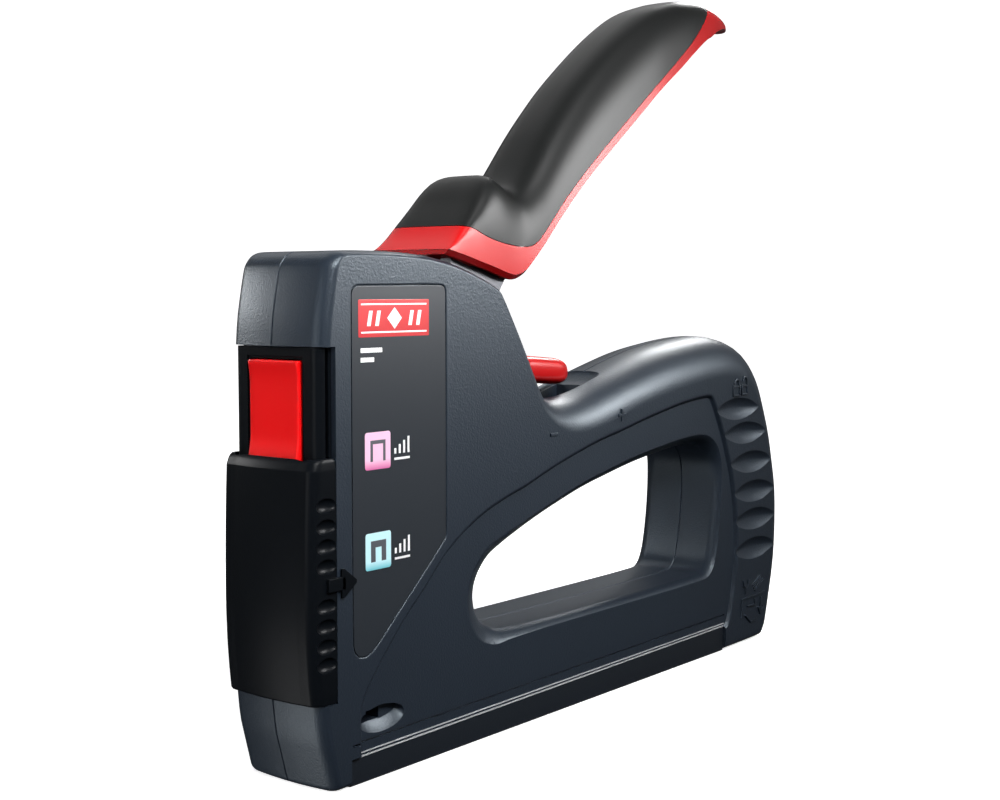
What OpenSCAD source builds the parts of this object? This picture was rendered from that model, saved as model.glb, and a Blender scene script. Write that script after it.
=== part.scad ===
// Heavy-duty hand tacker (staple gun) with a squeeze lever, finger opening and bottom magazine.
// Millimetres. X runs from the nose to the rear end, Z is up from the base, Y = 0 is the seam plane.
// Every module is drawn from the nose datum (X = 0 at the front foot); shift() centres the set.

/* [Body] */
// Width of the plastic body over its two side faces
body_width = 26.4; // [25:0.2:30]
// Thickness of the body walls beside the cavities
wall = 2.2; // [1.6:0.1:2.6]
// Depth of the shallow step around the finger opening
step_depth = 1.0; // [0.4:0.1:1.4]
// Depth of the label recess in each side face
label_recess = 0.25; // [0.15:0.05:0.6]
// Number of shallow grip dimples on each side of the rear band
grip_dimples = 6; // [2:1:6]
// Depth of each grip dimple
dimple_depth = 0.8; // [0.3:0.1:1.2]

/* [Lever] */
// Half width of the lever at its rim
lever_half = 11.5; // [10:0.1:12]
// Wall thickness of the red lever frame
lever_wall = 2.0; // [1.5:0.1:3]
// Radius of the lever pivot pin
pin_r = 2.5; // [2:0.1:3]
// Running clearance on a radius
fit = 0.05; // [0.02:0.01:0.1]
// Thickness of the steel lifting arm
arm_thick = 5.0; // [4:0.2:5.6]

/* [Striker] */
// Thickness of the striker blade
blade_thick = 1.0; // [0.8:0.1:1.1]
// Width of the staple crown the tool drives
crown = 10.6; // [10:0.1:10.8]
// Wire diameter of the power spring
spring_wire = 2.0; // [1.6:0.1:2.2]
// Number of turns in the power spring
spring_turns = 7; // [5:1:8]
// Mean radius of the power spring
spring_r = 5.5; // [5.2:0.1:5.6]

/* [Selector and power adjuster] */
// Number of small dimples on each side of the selector slide
slide_dimples = 8; // [4:2:8]
// Wall thickness of the selector slide beside the frame
slide_wall = 1.0; // [0.8:0.1:1.2]
// Half width of the red lock button
button_half = 7.2; // [6:0.1:7.3]
// Half width of the red power adjuster bar
adjuster_half = 4.0; // [3:0.1:4.1]

/* [Magazine] */
// Thickness of the magazine channel sheet
sheet = 0.8; // [0.6:0.1:1]
// Number of turns in the pusher spring
pusher_turns = 26; // [16:1:34]
// Radius of the pusher guide rod
rod_r = 1.0; // [0.8:0.1:1.2]
// Radius of the body screws
screw_r = 1.5; // [1.2:0.1:1.7]

/* [Hidden] */
$fn = 48;
e = 0.02;
hw = body_width / 2;
inner = hw - wall;
x_front = -9.5;
x_rear = 184;
P = [43, 97];
face_x = -1.75;
slide_z = [18.4, 67.4];
frame_half = 12;
slide_half = frame_half + slide_wall + 0.1;

// body outline: [x, z, in-plane rounding, rounding across the width], counter-clockwise
OUT = [
    [-3, 0, 1.5, 3], [172, 0, 1.5, 3], [174.5, 0.6, 3, 4], [177, 2.6, 4, 5], [179, 6.2, 5, 6],
    [180.9, 12, 5.5, 6], [182.7, 18.7, 5.5, 6], [183.7, 25.3, 5.5, 6], [x_rear, 32, 5.5, 6],
    [x_rear, 38.7, 5.5, 6], [183.3, 45.3, 5.5, 6], [181.9, 52, 6, 6.5], [180, 59.5, 6, 7],
    [177.6, 67, 7, 8], [174, 76, 8, 9], [169.8, 82.3, 10, 11], [165, 85.6, 11, 11.5],
    [158, 87.4, 11, 12], [151, 87.8, 11, 12], [141, 87.2, 11, 12], [130, 86, 11, 12],
    [120, 84.5, 11, 12], [109, 82, 10.5, 12], [98.6, 79.2, 10, 11], [88, 76.4, 10, 11],
    [80, 74.9, 9, 10], [74, 74.9, 7, 9], [70, 76.1, 5, 7], [67, 78.6, 3.5, 5], [64, 82.6, 2.5, 4],
    [58, 91.6, 2, 3], [52.3, 99.9, 1.6, 3], [50.6, 101.2, 1.3, 3], [45, 103.4, 1.3, 3],
    [40, 105, 1.3, 3], [35, 106.4, 1.3, 3], [30, 107.3, 1.3, 3], [25, 108, 1.3, 3],
    [15, 108.5, 1.3, 3], [1.5, 108.4, 1.3, 3], [-1.2, 107.9, 1.6, 3], [-3, 106.6, 2, 3],
    [-3.8, 104.5, 2.4, 3], [-6.4, 89, 2.4, 3], [-6.7, 18, 2, 3]];

// finger opening at the seam plane, with the flare towards the side faces
HOLE = [
    [56, 22.6, 4, 4], [140, 22.5, 3.5, 4], [144, 23.3, 3.5, 4], [146.2, 26, 3.5, 4],
    [147.8, 32, 3.5, 4], [149, 40, 3.5, 4], [149.5, 48, 3.5, 4], [148.8, 53.5, 4, 5],
    [146, 57.3, 5, 5.5], [141, 59.1, 6, 6], [130, 58.7, 6, 6], [117, 57.2, 6, 6],
    [107, 55.8, 6, 6], [96.8, 53.9, 6, 6], [86.6, 52, 6, 6], [76.4, 49.3, 6, 6],
    [66, 46.3, 6, 6], [56, 42.2, 8, 7], [51.5, 39, 12, 9], [49.2, 34.5, 16, 11],
    [48.9, 30.5, 16.5, 11], [50.3, 26, 13, 10], [52.6, 23.7, 8, 7]];

// line of the shallow step on the side faces
STEP = [
    [5.5, 15.5], [10, 22.5], [20, 33], [33, 44.5], [46.7, 51.6], [60, 55.2], [80, 61.2],
    [100, 65.3], [120, 69.1], [141, 71.6], [145.4, 68.3], [150, 60], [154.2, 50.3], [157, 38.7],
    [157.6, 30], [156.8, 18.7], [153.8, 8.7], [152.6, 7.2], [5.5, 6]];

// screw places in the side view
SCREWS = [[30, 28], [38.5, 71.5], [58, 62], [112, 70], [160, 72], [168, 25], [80, 16.4]];

// lever stations: [x, rim z, crest z, half width]
LEVER = [
    [35.2, 108.2, 109.2, 0.86], [38.5, 107.5, 112, 0.9], [42, 106.7, 116.2, 0.93],
    [45.5, 105.8, 120, 0.97], [50, 104.8, 123.5, 1], [55, 103.5, 125.7, 1], [59.6, 103, 126.4, 1],
    [61, 103.6, 125.2, 1], [63, 105, 127.5, 1], [66, 108, 130.4, 1], [70, 112, 134.5, 1],
    [75, 116.8, 140.5, 1], [80, 121.2, 146, 1], [90, 129.5, 155, 1], [100, 137, 162, 1],
    [110, 144.5, 168.5, 1], [120, 152.2, 173, 0.985], [130, 160, 176, 0.94],
    [138, 165.7, 177.5, 0.87], [146, 168.4, 178.5, 0.77], [152, 169.4, 178.7, 0.67],
    [158, 170.3, 177.5, 0.54], [163, 171.2, 175.8, 0.4], [166.5, 172, 174.5, 0.25],
    [168, 172.8, 173.9, 0.08]];

// lower edge of the black soft parts on the lever
SOFT = [
    [30, 118], [39.5, 114.6], [43, 114.2], [47, 112.5], [53, 111], [61, 110.2], [65, 110.5],
    [68, 112], [75, 119], [80, 123.8], [90, 132], [100, 139.5], [110, 147], [120, 154.5],
    [127, 160.2], [131, 164], [133.5, 167], [136, 170.5], [149.1, 173.74], [157.3, 174.57],
    [160.5, 177.6], [162, 190], [30, 190]];

function unit(v) = v / max(norm(v), 1e-9);
function left(v) = [-v[1], v[0]];
// mitred direction that moves a corner of a counter-clockwise outline inwards
function corner(Q, i) =
    let (n = len(Q), a = Q[(i + n - 1) % n], b = Q[i], c = Q[(i + 1) % n],
        u = left(unit([b[0] - a[0], b[1] - a[1]])), v = left(unit([c[0] - b[0], c[1] - b[1]])),
        m = unit(u + v))
    m / max(m * u, 0.75);
// one ring of a rounded slab: s = +1 shrinks towards the side face, -1 flares
function ring(Q, t, s, side) = [
    for (i = [0:len(Q) - 1])
        let (m = corner(Q, i), d = s * Q[i][2] * (1 - cos(t)))
        [Q[i][0] + m[0] * d, side * (hw - Q[i][3] * (1 - sin(t))), Q[i][1] + m[1] * d]];
function flat(Q, y) = [for (q = Q) [q[0], y, q[1]]];
function at_y(R, y) = [for (r = R) [r[0], y, r[2]]];

// closed skin over a list of rings with equal numbers of points
module skin(rings) {
    n = len(rings[0]);
    k = len(rings);
    pts = [for (r = rings) each r];
    sides = [
        for (j = [0:k - 2]) for (i = [0:n - 1])
            let (a = j * n + i, b = j * n + (i + 1) % n, c = a + n, d = b + n)
            each [[a, c, b], [b, c, d]]];
    polyhedron(pts, concat([[for (i = [0:n - 1]) i]], sides,
        [[for (i = [n - 1:-1:0]) (k - 1) * n + i]]), convexity = 10);
}

module slab(Q, s) {
    // half of a rounded slab on the -Y side
    skin(concat([flat(Q, 0)], [for (t = [0:18:90]) ring(Q, t, s, -1)],
        s < 0 ? [at_y(ring(Q, 90, s, -1), -hw - 1)] : []));
}

// prism of an X-Z outline between two Y values
module prism(Q, y0, y1) {
    translate([0, y1, 0]) rotate([90, 0, 0])
        linear_extrude(y1 - y0) polygon([for (q = Q) [q[0], q[1]]]);
}
module box(a, b) { translate(a) cube(b - a); }
module pin_y(x, z, r, y0, y1) {
    translate([x, y1, z]) rotate([90, 0, 0]) cylinder(r = r, h = y1 - y0);
}
module rod_x(x0, x1, y, z, r) {
    translate([x0, y, z]) rotate([0, 90, 0]) cylinder(r = r, h = x1 - x0);
}
// turns a shape with free-form faces into one faceted solid
module faceted() { resize([0, 0, 0]) children(); }
module shift() { translate([-(x_front + x_rear) / 2, 0, 0]) children(); }

// round-wire coil about Z from z0 to z1
module coil(z0, z1, r, w, turns, segs = 14, sides = 6) {
    steps = turns * segs;
    function lift(u) = z0 + w / 2 + (z1 - z0 - w) * u;
    skin([for (j = [0:steps])
        let (a = 360 * j / segs, u = j / steps)
        [for (i = [0:sides - 1])
            let (b = -360 * i / sides, q = r + w / 2 * cos(b))
            [q * cos(a), q * sin(a), lift(u) + w / 2 * sin(b)]]]);
}

module catch_place() { translate([173, 0, 74]) rotate([0, -22, 0]) children(); }

module cavities() {
    prism([[face_x - 4, 19.4], [38, 19.4], [38, 46], [50, 53], [63, 59], [63.5, 73], [60.4, 80],
        [50, 95.5], [47.5, 98.4], [35, 103.4], [20, 106], [1.5, 106], [-1.2, 103.6],
        [-3.8, 91.2], [face_x, 91.2], [face_x, 88.8], [face_x - 4, 88.8]], -inner, inner);
    prism([[52, 51.5], [76, 53.4], [96, 58], [117, 61], [139, 63], [150, 62], [150, 82.6],
        [141, 82.3], [120, 79.8], [98.6, 74], [88, 71.4], [80, 69.8], [66, 69.8], [60, 74]],
        -8.5, 8.5);
    prism([[152, 15], [176.6, 15], [179, 26], [179.2, 38], [177, 50], [174, 60], [169, 72],
        [164.5, 79], [158, 82.4], [149, 82.6], [147, 64], [151.6, 60], [153.4, 50], [152.6, 36],
        [150.4, 24]], -8.6, 8.6);
    prism([[36, 13.4], [155, 13.4], [155, 19.6], [36, 19.6]], -9.4, 9.4);
}

module openings() {
    // front cut-out for the selector slide and its frame
    box([-20, -hw - 5, slide_z[0]], [face_x, hw + 5, 89.4]);
    // slot for the lever foot in the top and in the rear slope
    prism([[34.5, 98], [34.5, 112], [62, 112], [62, 88], [50, 88]], -8.9, 8.9);
    // opening for the power adjuster and its trough in the top of the handle
    box([52, -adjuster_half - 0.3, 77.7], [72, adjuster_half + 0.3, 85.5]);
    prism([[68, 74], [74, 73.2], [80, 73.3], [88, 74.7], [100, 77.8], [100, 88], [68, 88]],
        -adjuster_half - 0.9, adjuster_half + 0.9);
    // way for the magazine and for the plug at the rear
    box([-1.65, -6.8, -1], [153, 6.8, 12.3]);
    box([150, -8.1, 1.4], [190, 8.1, 12.3]);
    box([-1.65, -6.8, -1], [1.2, 6.8, 62]);
    // bottom rail seat
    prism([[2.1, -1], [152.1, -1], [152.1, 7.1], [2.1, 5.9]], -hw - 1, hw + 1);
    // seat of the lever catch
    catch_place() box([-2.45, -3.6, -7.8], [6, 3.6, 4.8]);
}

module side_marks() {
    // all marks are cut into the -Y face
    prism(STEP, -hw - 1, -hw + step_depth);
    prism(LABEL, -hw - 1, -hw + label_recess);
    translate([12.1, -hw, 12]) rotate([90, 0, 0]) linear_extrude(4, center = true)
        polygon([for (a = [0:15:345]) [7.1 * cos(a), 3.1 * sin(a)]]);
    box([5.5, -hw - 1, 11.6], [12.8, -6, 13.4]);
    for (i = [0:grip_dimples - 1]) {
        q = [[157, 67.5], [161.5, 60.5], [165, 52], [167, 43.5], [167.5, 35.5], [167.5, 27]][i];
        r = (2.5 * 2.5 + dimple_depth * dimple_depth) / (2 * dimple_depth);
        rod_x(q[0] - 7.5, q[0] + 7.5, -hw - r + dimple_depth, q[1], r);
    }
}

LABEL = [
    [6.7, 26.2], [9, 27.2], [10.8, 28.7], [31.2, 46.9], [31.8, 48], [31.8, 100], [31.4, 101.2],
    [30.2, 101.7], [4.4, 101.4], [3.2, 100.8], [2.7, 99.6], [2.7, 29.6], [3.2, 27.6], [4.6, 26.4]];

module half_shell(screw_side) {
    difference() {
        union() {
            difference() {
                slab(OUT, 1);
                slab(HOLE, -1);
                cavities();
            }
            // inner ribs and bosses
            intersection() {
                box([-1, -inner - e, 19], [66, 0, 107]);
                union() {
                    box([0.6, -inner - e, 100], [13.9, 0, 103.4]);
                    box([2, -inner - e, 37.6], [21, 0, 40.6]);
                    pin_y(P[0], P[1], 6, -inner - e, -9);
                }
            }
            for (s = SCREWS) pin_y(s[0], s[1], 3.5, -(hw - 2), 0);
        }
        openings();
        side_marks();
        pin_y(P[0], P[1], pin_r + 0.01, -hw + 1.4, 1);
        if (screw_side)
            for (s = SCREWS) {
                pin_y(s[0], s[1], screw_r + 0.2, -hw - 1, 1);
                pin_y(s[0], s[1], 3.05, -hw - 1, -hw + 1.6);
            }
        else
            for (s = SCREWS) pin_y(s[0], s[1], screw_r + 0.02, -8.2, 1);
    }
}

module right_shell() { color("#3a4048") shift() faceted() half_shell(false); }
module left_shell() { color("#3a4048") shift() faceted() mirror([0, 1, 0]) half_shell(true); }

module label_plate() {
    prism([for (i = [0:len(LABEL) - 1]) let (m = corner(LABEL, i))
        [LABEL[i][0] + 0.1 * m[0], LABEL[i][1] + 0.1 * m[1]]], -hw, -hw + label_recess);
}
module label_right() { color("#4a4e56") shift() label_plate(); }
module label_left() { color("#4a4e56") shift() mirror([0, 1, 0]) label_plate(); }

module shell_screws() {
    color("#9a9da2") shift() for (s = SCREWS) difference() {
        union() {
            pin_y(s[0], s[1], screw_r, -8, hw - 1.5);
            pin_y(s[0], s[1], 2.9, hw - 1.6, hw - 0.3);
        }
        translate([s[0], hw + 0.1, s[1]]) rotate([90, 0, 0]) cylinder(r = 1.4, h = 1.4, $fn = 6);
    }
}

// front frame that guides the selector slide and holds the lock button
module front_frame() {
    color("#1c2024") shift() difference() {
        box([-5.5, -frame_half, slide_z[0] + 0.2], [face_x - 0.05, frame_half, 89.2]);
        // rounded front corners
        for (s = [-1, 1]) difference() {
            box([-6, s * frame_half - (s > 0 ? 2 : 1), 0], [-3.5, s * frame_half + (s > 0 ? 1 : 2), 100]);
            translate([-3.5, s * (frame_half - 2), -1]) cylinder(r = 2, h = 102);
        }
        for (s = [-1, 1])
            box([-3.6, s > 0 ? 11 : -frame_half - 1, 0], [-2.6, s > 0 ? frame_half + 1 : -11, 100]);
        box([-6, -button_half - 0.15, 59.8], [-2.6, button_half + 0.15, 86.8]);
    }
}

module lock_button() {
    color("#d41616") shift() difference() {
        box([-7, -button_half, 60], [-4.3, button_half, 86.6]);
        // finger hollow over a curved ledge
        translate([-27.6, 0, 79.5]) rotate([90, 0, 0]) cylinder(r = 21.6, h = 40, center = true, $fn = 96);
    }
}

module button_spring() {
    // two bowed leaves behind the button
    color("#a8acb2") shift() for (z = [66, 80]) intersection() {
        box([-4.28, -3, z - 5], [-2.62, 3, z + 5]);
        translate([4.4, 0, z]) rotate([90, 0, 0]) difference() {
            cylinder(r = 8.6, h = 5.6, center = true, $fn = 96);
            cylinder(r = 8.3, h = 7, center = true, $fn = 96);
        }
    }
}

module nose_plate() {
    // folded steel guide that keeps the blade and the first staple in line
    color("#8f949b") shift() difference() {
        box([-1.6, -6.7, 0.2], [0.55, 6.7, 61]);
        box([-blade_thick / 2 - 0.06, -crown / 2 - 0.2, -1], [2, crown / 2 + 0.2, 62]);
    }
}

module selector_slide() {
    color("#17191c") shift() difference() {
        union() {
            intersection() {
                box([x_front, -slide_half, slide_z[0]], [face_x - 0.05, slide_half, slide_z[1]]);
                // crowned front with rounded vertical corners
                union() {
                    translate([60.5, 0, 0]) intersection() {
                        cylinder(r = 70, h = 100, $fn = 360);
                        box([-80, -11, 0], [-60, 11, 100]);
                    }
                    for (s = [-1, 1]) translate([-6.1, s * 10.9, 0]) cylinder(r = 2.2, h = 100);
                    box([-6.1, -13.2, 0], [0, 13.2, 100]);
                }
            }
            // pointer wings over the side faces
            for (s = [-1, 1]) prism([[-4, 39.6], [-0.8, 39.6], [3.4, 42.4], [-0.8, 45.3], [-4, 45.3]],
                s > 0 ? hw + 0.05 : -hw - 0.6, s > 0 ? hw + 0.6 : -hw - 0.05);
            for (s = [-1, 1]) box([-4, s > 0 ? 12.6 : -hw - 0.6, 39.6],
                [face_x - 0.05, s > 0 ? hw + 0.6 : -12.6, 45.3]);
        }
        // room for the frame, with the ribs that run in its grooves left standing
        difference() {
            box([-7.35, -frame_half - 0.1, 0], [5, frame_half + 0.1, 100]);
            for (s = [-1, 1])
                box([-3.5, s > 0 ? 11.1 : -frame_half - 1, 0], [-2.7, s > 0 ? frame_half + 1 : -11.1, 100]);
        }
        // bevel along the upper front edge
        translate([x_front, -20, slide_z[1] - 2]) rotate([0, -30, 0]) cube([3, 40, 6]);
        for (s = [-1, 1]) for (i = [0:slide_dimples - 1]) {
            z = (i < slide_dimples / 2 ? 26.6 : 30.2) + 3.95 * i + (i < slide_dimples / 2 ? 0 : 4.0);
            rod_x(-6.9, -2.4, s * (frame_half + slide_wall + 1.2), z, 1.6);
        }
    }
}

module striker_blade() {
    color("#b9bdc3") shift() difference() {
        box([-blade_thick / 2, -crown / 2, 1.5], [blade_thick / 2, crown / 2, 58]);
        rod_x(-2, 2, 0, 53, 1.55);
    }
}

module plunger() {
    color("#6f747b") shift() {
        difference() {
            box([0.6, -6.4, 46], [14.8, 6.4, 58.5]);
            box([2, -4, 45], [12.5, 4, 51]);
        }
        rod_x(-blade_thick / 2, 0.7, 0, 53, 1.5);
        translate([7, 0, 58.4]) cylinder(r = 3.9, h = 3);
        // two side bars with the shelf the arm lifts
        for (s = [-1, 1])
            box([14.7, s > 0 ? arm_thick / 2 + 0.4 : -5.4, 46],
                [21.4, s > 0 ? 5.4 : -arm_thick / 2 - 0.4, 84.3]);
        box([14.7, -5.4, 46], [21.4, 5.4, 50]);
        box([15.4, -5.4, 84.25], [24, 5.4, 87.2]);
    }
}

module power_spring() {
    color("#aeb2b8") shift() translate([7, 0, 0])
        coil(58.6, 98.2, spring_r, spring_wire, spring_turns);
}

module spring_seat() {
    color("#2b2e33") shift() translate([7, 0, 0]) {
        translate([0, 0, 98.3]) cylinder(r = 6.9, h = 1.6);
        translate([0, 0, 83]) cylinder(r = 3.4, h = 15.4);
    }
}

module bumper() {
    color("#20242a") shift() difference() {
        box([2.2, -6.2, 40.7], [14.4, 6.2, 45.95]);
        translate([8.3, 0, 40]) cylinder(r = 2.4, h = 8);
    }
}

module lever_pin() { color("#a3a7ad") shift() pin_y(P[0], P[1], pin_r, -11.6, 11.6); }

module lever_spring() {
    // torsion coils beside the arm, one each side
    color("#b2b6bc") shift() for (s = [-1, 1]) for (i = [0:1])
        translate([P[0], s * (3.5 + 1.15 * i), P[1]]) rotate([90, 0, 0])
            rotate_extrude() translate([3.4, 0]) circle(r = 0.5, $fn = 16);
}

module lever_arm() {
    // steel arm: foot under the plunger shelf, body clamped in the lever frame
    tip = [P[0] - 21, P[1] - 15.5];
    color("#8b9097") shift() difference() {
        union() {
            prism([[tip[0] - 0.4, tip[1] - 2.55], [tip[0] + 4, tip[1] - 2.2], [P[0] - 2, P[1] - 6],
                [P[0] + 5.6, P[1] - 3], [P[0] + 10, P[1] + 8.6], [P[0] - 5, P[1] + 11.5],
                [P[0] - 6.2, P[1] + 3], [tip[0] + 3.4, tip[1] + 2.3], [tip[0], tip[1] + 2.5]],
                -arm_thick / 2, arm_thick / 2);
            pin_y(tip[0], tip[1], 2.6, -arm_thick / 2, arm_thick / 2);
        }
        pin_y(P[0], P[1], pin_r + fit, -10, 10);
    }
}

function lever_row(x, zr, zc, w, in) =
    let (h = zc - zr, hwid = lever_half * w)
    [for (s = [1, -1]) for (j = [0:6])
        let (q = [[1, 0], [0.99, 0.26], [0.955, 0.5], [0.885, 0.71], [0.76, 0.87], [0.54, 0.965],
                [0.22, 1]][s > 0 ? j : 6 - j])
        [x, s * (q[0] * hwid - in * min(1, hwid)), zr + q[1] * h - in * (q[1] > 0.05 ? q[1] : 0)
            - (in > 0 && q[1] == 0 ? 5 : 0)]];

module lever_outer() { skin([for (s = LEVER) lever_row(s[0], s[1], s[2], s[3], 0)]); }
module lever_inner() {
    // hollow from below, open along the rim, closed at both ends
    skin([for (i = [3:19]) let (s = LEVER[i]) lever_row(s[0], s[1], s[2], s[3], lever_wall)]);
}
function soft_line(d) = [for (q = SOFT) [q[0], q[1] + (q[1] < 189 ? d : 0)]];

module lever_frame() {
    color("#d41616") shift() faceted() difference() {
        union() {
            difference() {
                lever_outer();
                prism(soft_line(0), -20, 20);
                lever_inner();
            }
            // core under the soft parts and cross webs
            intersection() {
                lever_outer();
                lever_core(0.06);
                union() {
                    for (x = [58, 76, 94, 112, 130]) box([x, -20, 100], [x + 2, 20, 190]);
                    prism([[40, 104], [58, 100], [58, 126], [40, 118]], -20, 20);
                }
            }
            // ears around the pivot pin
            for (s = [-1, 1]) {
                y0 = s > 0 ? 5.5 : -8.5;
                pin_y(P[0], P[1], 5.6, y0, y0 + 3);
                prism([[P[0] - 5.1, P[1] + 0.7], [P[0] + 5.1, P[1] + 0.7], [P[0] + 8.5, P[1] + 9.5],
                    [P[0] - 4, P[1] + 11.5]], y0 + 0.01, y0 + 2.99);
            }
        }
        pin_y(P[0], P[1], pin_r + fit, -12, 12);
        // seat for the steel arm
        prism([[36, 100], [53.4, 100], [53.4, 105.9], [37.6, 109]],
            -arm_thick / 2 - 0.02, arm_thick / 2 + 0.02);
    }
}

// body of the frame under the soft parts; more gap makes it smaller
module lever_core(gap) {
    skin([for (s = LEVER)
        lever_row(s[0], s[1] - 6, s[2] - 2.5 - gap, s[3] * 0.89 - gap / lever_half, 0)]);
}

module soft_part(a, b) {
    difference() {
        intersection() {
            lever_outer();
            prism(soft_line(0.05), -20, 20);
            box([a, -20, 100], [b, 20, 190]);
        }
        lever_core(0);
    }
}
module front_pad() { color("#1d1f20") shift() faceted() soft_part(34, 60.9); }
module lever_grip() { color("#1d1f20") shift() faceted() soft_part(61.1, 170); }

module power_adjuster() {
    color("#d41616") shift() {
        difference() {
            union() {
                box([49.2, -adjuster_half, 78.2], [88.5, adjuster_half, 84.9]);
                translate([87.7, 0, 78.2]) cylinder(r = adjuster_half, h = 6.7);
            }
            for (x = [78:2.4:86]) box([x, -10, 84.3], [x + 0.9, 10, 86]);
        }
        box([49.2, -7, 78.4], [51.8, 7, 82]);
    }
}

module lock_slide() {
    color("#2a2d32") shift() catch_place() {
        box([-2.4, -3.5, -4.6], [2.6, 3.5, 4.6]);
        for (z = [-3, 0, 3])
            translate([2.6, 0, z]) rotate([90, 0, 0]) cylinder(r = 0.7, h = 6, center = true);
    }
}

module magazine_base() {
    color("#23272d") shift() difference() {
        prism([[2.3, 0], [152, 0], [152, 7.0], [2.3, 5.8]], -hw + step_depth - 0.1, hw - step_depth + 0.1);
        box([-1, -6.8, 1.0], [160, 6.8, 20]);
    }
}

module magazine_channel() {
    color("#9a9ea4") shift() difference() {
        box([1.1, -6.7, 1.05], [150, 6.7, 12.2]);
        box([-1, -6.7 + sheet, 1.05 + sheet], [160, 6.7 - sheet, 20]);
    }
}

module track_core() {
    color("#84888f") shift() difference() {
        box([1.4, -4.6, 2.2], [152, 4.6, 9.0]);
        box([4, -3.4, 3.4], [150, 3.4, 20]);
        rod_x(0, 160, 0, 6.2, rod_r + 0.02);
    }
}

module pusher_rod() { color("#b4b8be") shift() rod_x(2, 156, 0, 6.2, rod_r); }

module pusher() {
    color("#5d6269") shift() difference() {
        union() {
            box([1.4, -5.7, 9.1], [13, 5.7, 11.6]);
            for (s = [-1, 1]) box([1.4, s > 0 ? 4.75 : -5.7, 4], [13, s > 0 ? 5.7 : -4.75, 9.2]);
            box([4.2, -3.2, 3.6], [12, 3.2, 9.2]);
        }
        rod_x(0, 20, 0, 6.2, rod_r + fit);
    }
}

module pusher_spring() {
    color("#b4b8be") shift() translate([0, 0, 6.2]) rotate([0, 90, 0])
        coil(12.1, 149.8, 2.0, 0.6, pusher_turns, 10, 5);
}

module magazine_plug() {
    color("#23272d") shift() difference() {
        union() {
            box([152.05, -6.6, 1.6], [162, 6.6, 12.1]);
            box([161.9, -8, 1.6], [177.4, 8, 12.1]);
        }
        // finger hollow under the end
        translate([178.5, 0, 0]) rotate([90, 0, 0]) cylinder(r = 4.2, h = 9, center = true);
        rod_x(150, 156.1, 0, 6.2, rod_r + 0.02);
    }
}

right_shell();
left_shell();
label_right();
label_left();
shell_screws();
front_frame();
nose_plate();
selector_slide();
lock_button();
button_spring();
striker_blade();
plunger();
power_spring();
spring_seat();
bumper();
lever_pin();
lever_spring();
lever_arm();
lever_frame();
lever_grip();
front_pad();
power_adjuster();
lock_slide();
magazine_base();
magazine_channel();
track_core();
pusher_rod();
pusher();
pusher_spring();
magazine_plug();
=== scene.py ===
"""Hand tacker with a squeeze lever: the looks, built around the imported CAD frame.

Lengths in the helpers are millimetres from the nose datum (X = 0 at the front foot, Z = 0 at the base,
Y = 0 on the seam plane). put() turns them into metres in the frame that the CAD uses.
"""
import math

import bmesh
import bpy
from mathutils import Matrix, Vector


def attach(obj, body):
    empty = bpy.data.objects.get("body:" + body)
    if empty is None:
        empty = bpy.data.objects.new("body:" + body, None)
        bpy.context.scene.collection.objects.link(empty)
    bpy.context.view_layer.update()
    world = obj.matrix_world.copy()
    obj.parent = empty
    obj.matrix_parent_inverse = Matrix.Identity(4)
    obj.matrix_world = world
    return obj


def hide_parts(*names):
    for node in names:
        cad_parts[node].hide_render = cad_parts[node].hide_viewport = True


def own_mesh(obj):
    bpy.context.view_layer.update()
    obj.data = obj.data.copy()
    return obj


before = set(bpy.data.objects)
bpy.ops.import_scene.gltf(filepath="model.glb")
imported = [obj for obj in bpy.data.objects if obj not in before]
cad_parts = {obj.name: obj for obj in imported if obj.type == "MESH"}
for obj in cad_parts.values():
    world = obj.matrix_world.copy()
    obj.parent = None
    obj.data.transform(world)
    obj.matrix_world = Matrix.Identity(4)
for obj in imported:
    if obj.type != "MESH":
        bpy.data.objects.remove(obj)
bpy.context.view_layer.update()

X0 = 87.25        # nose datum to the middle of the tool
HW = 13.2         # half width of the body
SEAM = 0.24       # depth of the fine groove where the half shells meet
EDGE_STEPS = 9    # rings around a rounded long edge
INNER = 11.0      # half width of the cavity
PIVOT = (43.0, 97.0)      # x, z of the lever pin
SLIDE_BOTTOM = 18.4
FACE_X = -1.75    # front edge of the side walls beside the slide


# ---------------- meshes
def put(points):
    return [((p[0] - X0) * 0.001, p[1] * 0.001, p[2] * 0.001) for p in points]


def add_object(name, data):
    ob = bpy.data.objects.new(name, data)
    bpy.context.scene.collection.objects.link(ob)
    return ob


def mesh_object(name, points, faces):
    me = bpy.data.meshes.new(name)
    me.from_pydata(put(points), [], faces)
    me.validate()
    bm = bmesh.new()
    bm.from_mesh(me)
    bmesh.ops.remove_doubles(bm, verts=bm.verts, dist=1e-7)
    bmesh.ops.recalc_face_normals(bm, faces=bm.faces)
    bm.to_mesh(me)
    bm.free()
    return add_object(name, me)


def skin(name, rings, caps=True):
    """A closed surface over rings of equal length."""
    n = len(rings[0])
    pts = [p for r in rings for p in r]
    faces = []
    for j in range(len(rings) - 1):
        for i in range(n):
            a, b = j * n + i, j * n + (i + 1) % n
            faces.append((a, b, b + n, a + n))
    if caps:
        faces.append(tuple(range(n - 1, -1, -1)))
        faces.append(tuple(range((len(rings) - 1) * n, len(rings) * n)))
    return mesh_object(name, pts, faces)


def join(name, objs):
    bpy.ops.object.select_all(action="DESELECT")
    for o in objs:
        o.select_set(True)
    bpy.context.view_layer.objects.active = objs[0]
    if len(objs) > 1:
        bpy.ops.object.join()
    ob = bpy.context.view_layer.objects.active
    ob.name = name
    ob.data.name = name
    return ob


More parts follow.
